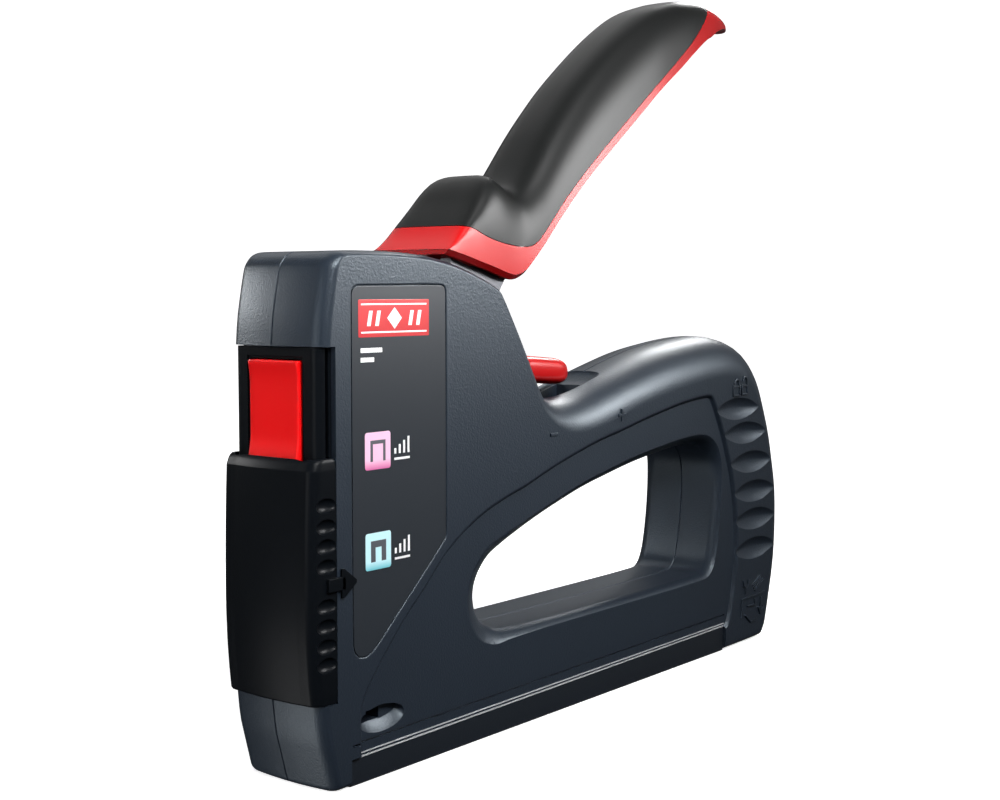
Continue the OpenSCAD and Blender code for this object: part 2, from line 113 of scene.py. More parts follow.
def boolean(ob, cutters, operation="DIFFERENCE"):
    """Applies one boolean after another and removes the cutters."""
    for c in cutters:
        m = ob.modifiers.new("b", "BOOLEAN")
        m.operation, m.object, m.solver = operation, c, "MANIFOLD"
        dg = bpy.context.evaluated_depsgraph_get()
        me = bpy.data.meshes.new_from_object(ob.evaluated_get(dg))
        old = ob.data
        ob.modifiers.clear()
        ob.data = me
        bpy.data.meshes.remove(old)
        bpy.data.objects.remove(c)
    return ob


def smooth(ob, angle=32.0, weighted=True):
    for p in ob.data.polygons:
        p.use_smooth = True
    ob.data.set_sharp_from_angle(angle=math.radians(angle))
    if weighted:
        w = ob.modifiers.new("weights", "WEIGHTED_NORMAL")
        w.weight = 60
        w.keep_sharp = True
    return ob


# ---------------- outlines
def unit(v):
    n = math.hypot(*v)
    return (v[0] / n, v[1] / n) if n > 1e-9 else (0.0, 0.0)


def mitre(q, i):
    """Direction that moves a corner of a counter-clockwise outline inwards by one unit."""
    a, b, c = q[i - 1], q[i], q[(i + 1) % len(q)]
    u, v = unit((b[0] - a[0], b[1] - a[1])), unit((c[0] - b[0], c[1] - b[1]))
    u, v = (-u[1], u[0]), (-v[1], v[0])
    m = unit((u[0] + v[0], u[1] + v[1]))
    k = max(m[0] * u[0] + m[1] * u[1], 0.6)
    return m[0] / k, m[1] / k


def hold_corners(q, turn=24.0, reach=None):
    """Adds points close to every sharp corner, so that smoothing rounds it only a little."""
    out = []
    n = len(q)
    for i in range(n):
        a, b, c = q[i - 1], q[i], q[(i + 1) % n]
        u, v = unit((b[0] - a[0], b[1] - a[1])), unit((c[0] - b[0], c[1] - b[1]))
        ang = math.degrees(math.acos(max(-1, min(1, u[0] * v[0] + u[1] * v[1]))))
        d = reach if reach is not None else b[2] + 0.8
        la, lc = math.dist(a[:2], b[:2]), math.dist(b[:2], c[:2])
        if ang > turn and la > 2.2 * d:
            t = d / la
            out.append([b[k] + (a[k] - b[k]) * (t if k < 2 else 0) for k in range(len(b))])
        out.append(list(b))
        if ang > turn and lc > 2.2 * d:
            t = d / lc
            out.append([b[k] + (c[k] - b[k]) * (t if k < 2 else 0) for k in range(len(b))])
    return out


def soften(q, rounds=3):
    """Corner cutting: straight stretches stay straight, bends become smooth."""
    for _ in range(rounds):
        out = []
        for i in range(len(q)):
            a, b = q[i], q[(i + 1) % len(q)]
            out.append([0.75 * s + 0.25 * t for s, t in zip(a, b)])
            out.append([0.25 * s + 0.75 * t for s, t in zip(a, b)])
        q = out
    return q


def edge_pair(q, sign):
    """Smoothed outline and the same outline moved by its rounding: rows of x, z, x2, z2, b.

    sign is 1 to move it inwards (a body) and -1 to move it outwards (a hole).
    """
    q = hold_corners(q)
    rows = []
    for i, p in enumerate(q):
        m = mitre(q, i)
        rows.append([p[0], p[1], p[0] + sign * m[0] * p[2], p[1] + sign * m[1] * p[2], p[3]])
    return soften(rows)


def slab_rings(pair, crown=0.0):
    """Rings of the -Y half of a rounded slab, from the seam plane out to the side face.

    With a crown, the front face stands out along the seam plane and falls back to the sides.
    """
    rings = []
    for y, k in ((0.0, SEAM), (-SEAM * 0.9, 0.0)):
        ring = []
        for r in pair:
            d = math.dist(r[:2], r[2:4]) or 1
            ring.append((r[0] + (r[2] - r[0]) / d * k, y, r[1] + (r[3] - r[1]) / d * k))
        rings.append(ring)
    for j in range(EDGE_STEPS + 1):
        t = math.radians(90 * j / EDGE_STEPS)
        c, s = 1 - math.cos(t), math.sin(t)
        rings.append([(r[0] + (r[2] - r[0]) * c, -(HW - r[4] * (1 - s)), r[1] + (r[3] - r[1]) * c)
                      for r in pair])
    if crown:
        # more rings across the front face, so that the crown is a curve
        more = [[(a[0], a[1] + (b[1] - a[1]) * t, a[2]) for a, b in zip(rings[1], rings[2])]
                for t in (0.2, 0.4, 0.6, 0.8)]
        rings = rings[:2] + more + rings[2:]
        rings = [[(x + crown * (y / HW) ** 2 * min(max((2 - x) / 4, 0), 1), y, z)
                  for x, y, z in ring] for ring in rings]
    return rings


def prism(name, q, y0, y1, rounds=0):
    """The outline q, from y0 to y1 across the tool."""
    if rounds:
        q = soften(hold_corners(q, reach=1.0), rounds)
    return skin(name, [[(p[0], y0, p[1]) for p in q], [(p[0], y1, p[1]) for p in q]])


def side_cut(name, q, depth, profile, reach):
    """Cutter for the -Y face. profile: (share of depth, outward shift) from the floor to the face."""
    q = soften(hold_corners([list(p) for p in q], reach=reach), 2)
    ms = [mitre(q, i) for i in range(len(q))]
    rings = []
    for share, out in profile:
        rings.append([(p[0] - m[0] * out, -HW + depth * share, p[1] - m[1] * out)
                      for p, m in zip(q, ms)])
    last = profile[-1][1]
    rings.append([(p[0] - m[0] * last, -HW - 1.5, p[1] - m[1] * last) for p, m in zip(q, ms)])
    return skin(name, rings)


def box(name, a, b):
    (x0, y0, z0), (x1, y1, z1) = a, b
    return skin(name, [[(x0, y0, z0), (x1, y0, z0), (x1, y1, z0), (x0, y1, z0)],
                       [(x0, y0, z1), (x1, y0, z1), (x1, y1, z1), (x0, y1, z1)]])


def cylinder(name, p, axis, r, h, n=48, r2=None):
    """From point p along +axis, one of x, y, z."""
    r2 = r if r2 is None else r2
    rings = []
    for d, rr in ((0, r), (h, r2)):
        ring = []
        for i in range(n):
            a = 2 * math.pi * i / n
            c, s = rr * math.cos(a), rr * math.sin(a)
            ring.append({"x": (p[0] + d, p[1] + c, p[2] + s), "y": (p[0] + s, p[1] + d, p[2] + c),
                         "z": (p[0] + c, p[1] + s, p[2] + d)}[axis])
        rings.append(ring)
    return skin(name, rings)


def ellipsoid(name, c, r, nu=32, nv=16):
    rings = []
    for j in range(1, nv):
        t = math.pi * j / nv
        rings.append([(c[0] + r[0] * math.sin(t) * math.cos(2 * math.pi * i / nu),
                       c[1] + r[1] * math.sin(t) * math.sin(2 * math.pi * i / nu),
                       c[2] - r[2] * math.cos(t)) for i in range(nu)])
    return skin(name, rings)


def mirrored(ob, name):
    """A copy of ob on the other side of the seam plane."""
    me = ob.data.copy()
    me.transform(((1, 0, 0, 0), (0, -1, 0, 0), (0, 0, 1, 0), (0, 0, 0, 1)))
    me.flip_normals()
    return add_object(name, me)


# ---------------- outlines of the body
# x, z, rounding in the plane, rounding across the width
OUTER = [
    (-3, 0, 1.5, 3), (172, 0, 1.5, 3), (174.5, 0.6, 3, 4), (177, 2.6, 4, 5), (179, 6.2, 5, 6),
    (180.9, 12, 5.5, 6), (182.7, 18.7, 5.5, 6), (183.7, 25.3, 5.5, 6), (184, 32, 5.5, 6),
    (184, 38.7, 5.5, 6), (183.3, 45.3, 5.5, 6), (181.9, 52, 6, 6.5), (180, 59.5, 6, 7),
    (177.6, 67, 7, 8), (174, 76, 8, 9), (169.8, 82.3, 10, 11), (165, 85.6, 11, 11.5),
    (158, 87.4, 11, 12), (151, 87.8, 11, 12), (141, 87.2, 11, 12), (130, 86, 11, 12),
    (120, 84.5, 11, 12), (109, 82, 10.5, 12), (98.6, 79.2, 10, 11), (88, 76.4, 10, 11),
    (80, 74.9, 9, 10), (74, 74.9, 7, 9), (70, 76.1, 5, 7), (67, 78.6, 3.5, 5), (64, 82.6, 2.5, 4),
    (58, 91.6, 2, 3), (52.3, 99.9, 1.6, 3), (50.6, 101.2, 1.3, 3), (45, 103.4, 1.3, 3),
    (40, 105, 1.3, 3), (35, 106.4, 1.3, 3), (30, 107.3, 1.3, 3), (25, 108, 1.3, 3),
    (15, 108.5, 1.3, 3), (1.5, 108.4, 1.3, 3), (-1.2, 107.9, 1.6, 3), (-3, 106.6, 2, 3),
    (-4.2, 104.5, 2.4, 3), (-7.0, 89, 2.4, 3), (-8.0, 18, 2, 3)]
OPENING = [
    (56, 22.6, 4, 4), (140, 22.5, 3.5, 4), (144, 23.3, 3.5, 4), (146.2, 26, 3.5, 4),
    (147.8, 32, 3.5, 4), (149, 40, 3.5, 4), (149.5, 48, 3.5, 4), (148.8, 53.5, 4, 5),
    (146, 57.3, 5, 5.5), (141, 59.1, 6, 6), (130, 58.7, 6, 6), (117, 57.2, 6, 6),
    (107, 55.8, 6, 6), (96.8, 53.9, 6, 6), (86.6, 52, 6, 6), (76.4, 49.3, 6, 6),
    (66, 46.3, 6, 6), (56, 42.2, 8, 7), (51.5, 39, 12, 9), (49.2, 34.5, 16, 11),
    (48.9, 30.5, 16.5, 11), (50.3, 26, 13, 10), (52.6, 23.7, 8, 7)]
STEP = [
    (5.5, 15.5), (7, 18.7), (10, 22.5), (15, 28), (20, 33), (25, 37), (30, 42), (33, 44.5),
    (40, 48.7), (46.7, 51.6), (55, 54.1), (60, 55.2), (70, 58.5), (80, 61.2), (90, 63.6),
    (100, 65.3), (110, 67.4), (120, 69.1), (130, 70.7), (141, 71.6), (143.3, 71.2),
    (145.4, 68.3), (147.5, 64.5), (150, 60), (152, 55.3), (154.2, 50.3), (155.8, 44.5),
    (157, 38.7), (157.7, 32), (157.5, 25.3), (156.8, 18.7), (155.4, 13.7), (153.8, 8.7),
    (152.6, 6.9), (5.5, 5.7)][::-1]
LABEL = [
    (6.7, 26.2), (9, 27.2), (10.8, 28.7), (31.2, 46.9), (31.8, 48), (31.8, 100), (31.4, 101.2),
    (30.2, 101.7), (4.4, 101.4), (3.2, 100.8), (2.7, 99.6), (2.7, 29.6), (3.2, 27.6), (4.6, 26.4)]
VIEW = (12.1, 12), (7.1, 3.1)      # middle and half axes of the staple view
DIMPLE = (23.5, 6.2, 1.35)          # length, height and depth of a finger scoop
DIMPLES = [(157, 67.5), (161.5, 60.5), (165, 52), (167, 43.5), (167.5, 35.5), (167.5, 27)]
SCREWS = [(30, 28), (38.5, 71.5), (58, 62), (112, 70), (160, 72), (168, 25), (80, 16.4)]

ROUND_MOUTH = ((1.0, 0.0), (0.5, 0.0), (0.28, 0.06), (0.12, 0.16), (0.03, 0.3), (0.0, 0.45))
STEP_WALL = ((1.0, -0.25), (0.96, -0.08), (0.86, 0.05), (0.45, 0.3), (0.2, 0.48), (0.07, 0.68),
             (0.015, 0.95), (0.0, 1.3))


CATCH = (173, 74, math.radians(22))      # x, z and lean of the lever catch


def catch_place(a, y, c):
    """Point of the tilted catch: a outwards from the handle, c upwards along it."""
    x, z, lean = CATCH
    ca, sa = math.cos(lean), math.sin(lean)
    return x + a * ca - c * sa, y, z + a * sa + c * ca


def catch_box(name, a, b):
    (x0, y0, z0), (x1, y1, z1) = a, b
    return skin(name, [[catch_place(*p) for p in ((x0, y0, z), (x1, y0, z), (x1, y1, z), (x0, y1, z))]
                       for z in (z0, z1)])


def hollow_cutters():
    """The space inside the body, as in the CAD."""
    return [
        prism("c1", [(FACE_X - 4, 19.4), (38, 19.4), (38, 46), (50, 53), (63, 59), (63.5, 73),
                     (60.4, 80), (50, 95.5), (47.5, 98.4), (35, 103.4), (20, 106), (1.5, 106),
                     (-1.2, 103.6), (-3.8, 91.2), (FACE_X, 91.2), (FACE_X, 88.8),
                     (FACE_X - 4, 88.8)], -INNER, INNER),
        prism("c2", [(52, 51.5), (76, 53.4), (96, 58), (117, 61), (139, 63), (150, 62),
                     (150, 82.6), (141, 82.3), (120, 79.8), (98.6, 74), (88, 71.4), (80, 69.8),
                     (66, 69.8), (60, 74)], -8.5, 8.5),
        prism("c3", [(152, 15), (176.6, 15), (179, 26), (179.2, 38), (177, 50), (174, 60),
                     (169, 72), (164.5, 79), (158, 82.4), (149, 82.6), (147, 64), (151.6, 60),
                     (153.4, 50), (152.6, 36), (150.4, 24)], -8.6, 8.6),
        prism("c4", [(36, 13.4), (155, 13.4), (155, 19.6), (36, 19.6)], -9.4, 9.4),
        # slot for the lever foot, way of the power adjuster, magazine, plug and blade
        prism("c5", [(34.5, 98), (34.5, 112), (62, 112), (62, 88), (50, 88)], -8.9, 8.9, 1),
        box("c6", (52, -4.3, 77.7), (72, 4.3, 85.5)),
        box("c7", (-1.65, -6.8, -1), (153, 6.8, 12.3)),
        box("c8", (150, -8.1, 1.4), (190, 8.1, 12.3)),
        box("c9", (-1.65, -6.8, -1), (1.2, 6.8, 62)),
        box("c10", (-20, -20, SLIDE_BOTTOM), (FACE_X, 20, 89.4)),
        # seat of the lever catch
        catch_box("c11", (-2.45, -3.6, -7.8), (6, 3.6, 4.8)),
    ]


def trough():
    """Shallow round-ended bed under the power adjuster."""
    rows = [(68, 74), (74, 73.2), (80, 73.3), (88, 74.7), (97, 77.0), (99.6, 77.7), (101.2, 79.4),
            (102, 81), (102, 90), (68, 90)]
    rings = []
    for y, k in ((-5.6, 1.4), (-5.2, 0.5), (-4.7, 0.1), (-4.2, 0), (4.2, 0), (4.7, 0.1), (5.2, 0.5),
                 (5.6, 1.4)):
        rings.append([(p[0], y, p[1] + (k if p[1] < 82 else 0)) for p in rows])
    return skin("trough", rings)


def scoop(name, cx, cz, lx, lz, depth):
    """Lens-shaped finger scoop on the -Y face with a crisp edge all round."""
    nu, rings = 40, []
    for k in (0.05, 0.25, 0.45, 0.62, 0.76, 0.88, 0.96, 1.0, 1.12):
        ring = []
        for i in range(nu):
            a = 2 * math.pi * i / nu
            u = math.cos(a)
            v = math.copysign(abs(math.sin(a)) ** 1.25, math.sin(a)) * (1 - 0.18 * u * u)
            d = depth * (1 - k * k)
            ring.append((cx + u * lx / 2 * k, -HW + d, cz + v * lz / 2 * k + 0.35 * (1 - k)))
        rings.append(ring)
    return skin(name, rings)


def body_half(name, screw_side):
    """Half shell on the -Y side; with screw_side, it gets the screw seats."""
    out = skin("outer", slab_rings(edge_pair(OUTER, 1), crown=1.2))
    hole_pair = edge_pair(OPENING, -1)
    hole_rings = slab_rings(hole_pair)
    hole_rings.insert(0, [(p[0], 1.0, p[2]) for p in hole_rings[0]])
    hole_rings.append([(p[0], -HW - 2, p[2]) for p in hole_rings[-1]])
    hole = skin("hole", hole_rings)
    cuts = [hole, side_cut("step", STEP, 1.0, STEP_WALL, reach=1.6)]
    # seat of the bottom rail
    cuts.append(prism("rail", [(2.1, -1), (152.1, -1), (152.1, 7.1), (2.1, 5.9)], -HW - 1, 1))
    # label bed with a fine raised lip left around it
    cuts.append(side_cut("labelbed", LABEL, 0.3, ROUND_MOUTH, reach=0.8))
    for i, (x, z) in enumerate(DIMPLES):
        cuts.append(scoop("dimple%d" % i, x + 0.3, z, *DIMPLE))
    # staple view: oval bowl with a slanting floor and a window in its back wall; the rows are
    # depth, rise of the middle and share of the mouth
    (cx, cz), (rx, rz) = VIEW
    rings = []
    for d, up, k in ((2.7, 1.45, 0.5), (2.6, 1.35, 0.55), (1.9, 0.8, 0.74), (1.0, 0.3, 0.9),
                     (0.35, 0.06, 0.98), (0.0, 0.0, 1.02), (-1.5, 0.0, 1.1)):
        rings.append([(cx + rx * math.cos(a) * (0.55 + 0.45 * k), -HW + d,
                       cz + up + rz * k * math.sin(a)) for a in
                      [2 * math.pi * i / 40 for i in range(40)]])
    cuts.append(skin("oval", rings))
    cuts.append(prism("window", [(7.2, 11.9), (12.8, 11.9), (12.8, 14.7), (7.2, 14.7)], -HW - 1,
                      -6.0))
    # fine groove above the rail
    cuts.append(prism("groove", [(2.4, 8.45), (152.6, 9.75), (152.6, 10.15), (2.4, 8.85)],
                      -HW - 1, -HW + 1.45))
    cuts += hollow_cutters()
    cuts.append(trough())
    cuts.append(box("slot", (66, -4.5, 68), (95.8, 4.5, 82)))
    if screw_side:
        for i, (x, z) in enumerate(SCREWS):
            cuts.append(cylinder("sc%d" % i, (x, -HW - 1, z), "y", 3.3, 1.35, r2=3.1))
            cuts.append(cylinder("sd%d" % i, (x, -HW - 1, z), "y", 3.05, 2.6))
    ob = boolean(out, cuts)
    ob.name = name
    return ob


# ---------------- materials
def shader(name, base, rough=0.5, metal=0.0, spec=0.5, grain=None, mottle=0.0, brushed=None,
           tint=(1, 1, 1)):
    """Principled material with a procedural surface.

    grain: (scale per mm, height in mm); mottle: share by which the colour varies; brushed: scale of
    the streaks along x, y, z; tint: colour of the plastic's reflections.
    """
    m = bpy.data.materials.new(name)
    m.use_nodes = True
    nt = m.node_tree
    b = nt.nodes["Principled BSDF"]
    b.inputs["Base Color"].default_value = (*base, 1)
    b.inputs["Roughness"].default_value = rough
    b.inputs["Metallic"].default_value = metal
    b.inputs["Specular IOR Level"].default_value = spec
    b.inputs["Specular Tint"].default_value = (*tint, 1)
    tc = nt.nodes.new("ShaderNodeTexCoord")
    if grain:
        n = nt.nodes.new("ShaderNodeTexNoise")
        n.inputs["Scale"].default_value = grain[0] * 1000
        n.inputs["Detail"].default_value = 2.0
        n.inputs["Roughness"].default_value = 0.55
        nt.links.new(tc.outputs["Object"], n.inputs["Vector"])
        bump = nt.nodes.new("ShaderNodeBump")
        bump.inputs["Strength"].default_value = 1.0
        bump.inputs["Distance"].default_value = grain[1] * 0.001
        nt.links.new(n.outputs["Fac"], bump.inputs["Height"])
        nt.links.new(bump.outputs["Normal"], b.inputs["Normal"])
    if brushed:
        mp = nt.nodes.new("ShaderNodeMapping")
        mp.inputs["Scale"].default_value = brushed
        n = nt.nodes.new("ShaderNodeTexNoise")
        n.inputs["Scale"].default_value = 1.0
        n.inputs["Detail"].default_value = 3.0
        nt.links.new(tc.outputs["Object"], mp.inputs["Vector"])
        nt.links.new(mp.outputs["Vector"], n.inputs["Vector"])
        r = nt.nodes.new("ShaderNodeMapRange")
        r.inputs["To Min"].default_value = rough - 0.1
        r.inputs["To Max"].default_value = rough + 0.15
        nt.links.new(n.outputs["Fac"], r.inputs["Value"])
        nt.links.new(r.outputs["Result"], b.inputs["Roughness"])
    if mottle:
        n = nt.nodes.new("ShaderNodeTexNoise")
        n.inputs["Scale"].default_value = 60
        n.inputs["Detail"].default_value = 4.0
        nt.links.new(tc.outputs["Object"], n.inputs["Vector"])
        ramp = nt.nodes.new("ShaderNodeMix")
        ramp.data_type = "RGBA"
        ramp.inputs["A"].default_value = (*[c * (1 - mottle) for c in base], 1)
        ramp.inputs["B"].default_value = (*[c * (1 + mottle) for c in base], 1)
        nt.links.new(n.outputs["Fac"], ramp.inputs["Factor"])
        nt.links.new(ramp.outputs["Result"], b.inputs["Base Color"])
    return m


MAT = {
    "housing": shader("body_plastic", (0.013, 0.0185, 0.028), 0.38, spec=0.35, grain=(2.3, 0.06),
                      mottle=0.08, tint=(0.8, 0.92, 1.0)),
    "label": shader("label_film", (0.018, 0.022, 0.028), 0.35, spec=0.3, grain=(1.2, 0.003)),
    "black": shader("black_plastic", (0.003, 0.004, 0.0055), 0.34, spec=0.06, grain=(2.2, 0.02)),
    "red": shader("red_gloss", (0.44, 0.004, 0.005), 0.3, spec=0.18, grain=(0.25, 0.01)),
    # lighter copy of the lever's red for the lock button: painted light, in place of the front light
    # that the button lacks
    "red_painted_lit": shader("red_painted_lit", (0.78, 0.004, 0.005), 0.3, spec=0.16, grain=(0.25, 0.01)),
    "soft": shader("soft_black", (0.008, 0.0085, 0.0085), 0.38, spec=0.12, grain=(1.6, 0.006)),
    "rail": shader("rail_plastic", (0.008, 0.011, 0.016), 0.36, spec=0.35, grain=(2.2, 0.02)),
    # the strips along the rail are real metal; this matt light grey is a painted highlight in place of
    # their reflection
    "trim": shader("trim_metal_painted_highlight", (0.5, 0.51, 0.53), 0.4, metal=0.2, brushed=(300, 300, 4000)),
    "steel": shader("steel", (0.5, 0.5, 0.51), 0.32, metal=1.0, brushed=(300, 300, 4000)),
    "dark_steel": shader("dark_steel", (0.09, 0.092, 0.1), 0.4, metal=1.0,
                         brushed=(900, 900, 900)),
    "spring": shader("spring_wire", (0.55, 0.55, 0.56), 0.25, metal=1.0, brushed=(900, 900, 900)),
    "bumper": shader("bumper_rubber", (0.02, 0.02, 0.022), 0.7, grain=(1.0, 0.02)),
}


# ---------------- studio
ROOM = 0.15       # brightness of the room around the tool
SWEEP_R = 4.0     # radius of the floor and of the white wall behind it


def set_range(node, from_min, from_max, to_min, to_max):
    for k, v in zip(("From Min", "From Max", "To Min", "To Max"),
                    (from_min, from_max, to_min, to_max)):
        node.inputs[k].default_value = v


def stage_mesh(name, points, faces):
    """Mesh of the set with a white material; returns it with its node tree and shader node."""
    me = bpy.data.meshes.new(name)
    me.from_pydata(points, [], faces)
    ob = add_object(name, me)
    m = bpy.data.materials.new(name)
    m.use_nodes = True
    me.materials.append(m)
    p = m.node_tree.nodes["Principled BSDF"]
    p.inputs["Emission Color"].default_value = (1, 1, 1, 1)
    # the camera sees it, but it neither lights the tool nor shows in it, and lets light through
    ob.visible_diffuse = ob.visible_glossy = ob.visible_shadow = False
    return ob, m.node_tree, p


def studio():
    """Dim room, white wall and floor for the camera, lights and the photo's camera."""
    world = bpy.data.worlds.new("studio")
    bpy.context.scene.world = world
    world.use_nodes = True
    nt = world.node_tree
    bg = nt.nodes["Background"]
    bg.inputs["Strength"].default_value = 1.0
    # a dim room that is almost black below the horizon
    tc = nt.nodes.new("ShaderNodeTexCoord")
    sep = nt.nodes.new("ShaderNodeSeparateXYZ")
    below = nt.nodes.new("ShaderNodeMapRange")
    below.interpolation_type = "SMOOTHSTEP"
    set_range(below, -0.35, -0.05, 0.01, ROOM)
    nt.links.new(tc.outputs["Generated"], sep.inputs["Vector"])
    nt.links.new(sep.outputs["Z"], below.inputs["Value"])
    nt.links.new(below.outputs["Result"], bg.inputs["Color"])

    # white wall and ceiling
    rim = [(SWEEP_R * math.cos(math.pi * i / 32), SWEEP_R * math.sin(math.pi * i / 32))
           for i in range(64)]
    _, _, p = stage_mesh("wall", [(x, y, z) for z in (-0.3, 4.0) for x, y in rim],
                         [(i, (i + 1) % 64, (i + 1) % 64 + 64, i + 64) for i in range(64)]
                         + [tuple(range(64, 128))])
    p.inputs["Base Color"].default_value = (1, 1, 1, 1)
    p.inputs["Emission Strength"].default_value = 1.1

    # the floor takes the tool's shadow and glows white beyond it, into the wall
    floor, nt, p = stage_mesh("floor", [(x, y, 0) for x, y in rim], [tuple(range(64))])
    floor.location.z = -0.0002      # a hair under the base
    p.inputs["Base Color"].default_value = (0.9, 0.9, 0.9, 1)
    p.inputs["Roughness"].default_value = 0.9
    p.inputs["Specular IOR Level"].default_value = 0.1
    tc = nt.nodes.new("ShaderNodeTexCoord")
    far = nt.nodes.new("ShaderNodeVectorMath")
    far.operation = "LENGTH"
    glow = nt.nodes.new("ShaderNodeMapRange")
    glow.interpolation_type = "SMOOTHSTEP"
    set_range(glow, 0.09, 0.17, 0.78, 1.0)
    nt.links.new(tc.outputs["Object"], far.inputs[0])
    nt.links.new(far.outputs["Value"], glow.inputs["Value"])
    nt.links.new(glow.outputs["Result"], p.inputs["Emission Strength"])

    def area(name, loc, target, size, power, size_y=None, spread=180, sheen=False):
        """Area light; a sheen light only shows in reflections."""
        ld = bpy.data.lights.new(name, "AREA")
        ld.energy = power
        ld.spread = math.radians(spread)
        ld.size = size
        if size_y:
            ld.shape = "RECTANGLE"
            ld.size_y = size_y
        ob = add_object(name, ld)
        ob.location = loc
        ob.rotation_euler = (Vector(target) - Vector(loc)).to_track_quat("-Z", "Y").to_euler()
        ob.visible_camera = False
        ob.visible_diffuse = not sheen

    # name, place, point aimed at, width, watts
    area("key", (0.05, -0.8, 0.85), (0.03, 0, 0.08), 0.6, 4.3)
    area("gridded", (-0.18, -0.4, 0.45), (-0.06, 0, 0.15), 0.2, 0.4, spread=42)
    area("front", (-1.0, -0.05, 0.16), (0, 0, 0.07), 0.4, 2.4)
    area("back", (0.45, 0.6, 1.1), (0.15, 0.1, 0.0), 1.2, 5)
    # stands in for the light that the floor throws up at the leaning front of the foot
    area("bounce", (-0.28, 0.1, -0.1), (-0.09, 0, 0.01), 0.14, 0.28)
    # near strips that only show as reflections: side faces, front faces, crest of the handle
    area("side_sheen", (0.155, -0.19, 0.18), (-0.05, -0.013, 0.18), 0.12, 1.25, 0.09, sheen=True)
    area("front_sheen", (-0.19, 0.25, 0.15), (-0.09, 0, 0.13), 0.1, 0.36, 0.05, sheen=True)
    area("crest_sheen", (0.8, 0.27, 0.6), (0.05, 0, 0.08), 0.16, 3.1, 0.16, sheen=True)

    cam = bpy.data.cameras.new("camera")
    cam.sensor_width = 36.0
    cam.lens = 54.29
    cam.clip_start = 0.01
    down, heading = 4.134, 38.3     # degrees below level, and from +X towards +Y
    ob = add_object("camera", cam)
    # worked out from the photo, in the nose datum
    ob.location = ((-213.142 - X0) * 0.001, -0.221165, 0.100277)
    ob.rotation_euler = (math.radians(90 - down), 0, math.radians(heading - 90))
    bpy.context.scene.camera = ob
    sc = bpy.context.scene
    sc.view_settings.view_transform = "Standard"
    sc.view_settings.look = "None"


studio()


# ---------------- finishing of a piece
def paint(ob, material):
    ob.data.materials.clear()
    ob.data.materials.append(material)
    for p in ob.data.polygons:
        p.material_index = 0


def piece(ob, body, mat, nodes=(), angle=32.0, weighted=True, name=None):
    """Finishes ob as a piece that rides on a body and stands for the given CAD nodes."""
    if name:
        ob.name = name
    paint(ob, MAT[mat] if isinstance(mat, str) else mat)
    smooth(ob, angle, weighted)
    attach(ob, body)
    if nodes:
        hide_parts(*nodes)
    return ob


# ---------------- shells
right = body_half("shell_right", False)
left = mirrored(body_half("left_tmp", True), "shell_left")
bpy.data.objects.remove(bpy.data.objects["left_tmp"])
piece(right, "housing", "housing", ["right_shell"])
piece(left, "housing", "housing", ["left_shell"])


# ---------------- marks on the side faces
def raised(name, q, y_face, height=0.3, soft=2, reach=0.3):
    """Low pad with softened edges that stands on the -Y face at y_face."""
    q = soften(hold_corners([list(p) + [0, 0] for p in q], reach=reach), soft) if soft else q
    ms = [mitre(q, i) for i in range(len(q))]
    rings = []
    for d, inset in ((0.15, 0.0), (-height * 0.6, 0.0), (-height * 0.9, 0.06), (-height, 0.16)):
        rings.append([(p[0] + m[0] * inset, y_face + d, p[1] + m[1] * inset)
                      for p, m in zip(q, ms)])
    return skin(name, rings)


def pen_line(a, b, w):
    """Outline of a straight pen line of width w from a to b, square-ended."""
    d = unit((b[0] - a[0], b[1] - a[1]))
    u, v = (d[0] * w / 2, d[1] * w / 2), (-d[1] * w / 2, d[0] * w / 2)
    return [(a[0] - u[0] - v[0], a[1] - u[1] - v[1]), (b[0] + u[0] - v[0], b[1] + u[1] - v[1]),
            (b[0] + u[0] + v[0], b[1] + u[1] + v[1]), (a[0] - u[0] + v[0], a[1] - u[1] + v[1])]


def rect(x0, z0, x1, z1):
    return [(x0, z0), (x1, z0), (x1, z1), (x0, z1)]


SIGN_H = 0.42     # height of the raised signs
# centre lines of the raised signs at the rear end: two padlocks and how the rail is loaded
SIGNS = [
    [(154.5, 74.0), (154.5, 71.2), (158.0, 71.2), (158.0, 74.0)], [(154.8, 73.8), (157.7, 73.8)],
    [(155.0, 74.1), (155.0, 74.9), (155.7, 75.6), (156.8, 75.6), (157.4, 74.9), (157.4, 74.1)],
    [(159.2, 74.0), (159.2, 71.4), (162.3, 71.4), (162.3, 74.0)], [(159.5, 73.8), (162.0, 73.8)],
    [(159.6, 75.4), (160.2, 76.2), (161.4, 76.2), (161.9, 75.5), (161.9, 74.1)],
    [(161.3, 18.2), (161.5, 16.8), (162.7, 16.2), (163.8, 16.7), (164.3, 18.0)],
    [(162.7, 16.2), (162.7, 14.4)],
    [(166.9, 16.2), (171.0, 18.4)], [(167.5, 15.4), (171.9, 17.7)], [(168.1, 14.6), (172.8, 17.0)],
    [(160.6, 13.0), (168.9, 13.2), (173.6, 13.5)], [(160.6, 13.0), (160.4, 8.0)],
    [(168.0, 12.0), (168.0, 10.5), (163.8, 10.7)], [(162.6, 8.2), (165.6, 5.9), (168.0, 5.9)],
    [(171.6, 12.0), (171.3, 7.4)], [(170.2, 9.3), (171.3, 7.4), (172.6, 9.2)],
]


def side_marks(name, signs):
    """Minus and plus beside the power bar, with the signs of one side."""
    parts = [raised("m1", rect(69.1, 66.35, 72.0, 67.15), -HW, 0.3),
             raised("m2", rect(97.6, 69.1, 100.7, 69.9), -HW, 0.3),
             raised("m3", rect(98.75, 67.9, 99.55, 71.1), -HW, 0.31)]
    pens = [pair for line in signs for pair in zip(line, line[1:])]
    # slightly different heights, so that crossing lines never share a top face
    parts += [raised("s", pen_line(a, b, 0.5), -HW, SIGN_H + 0.001 * i, soft=0)
              for i, (a, b) in enumerate(pens)]
    return join(name, parts)


marks = side_marks("marks_right", SIGNS)
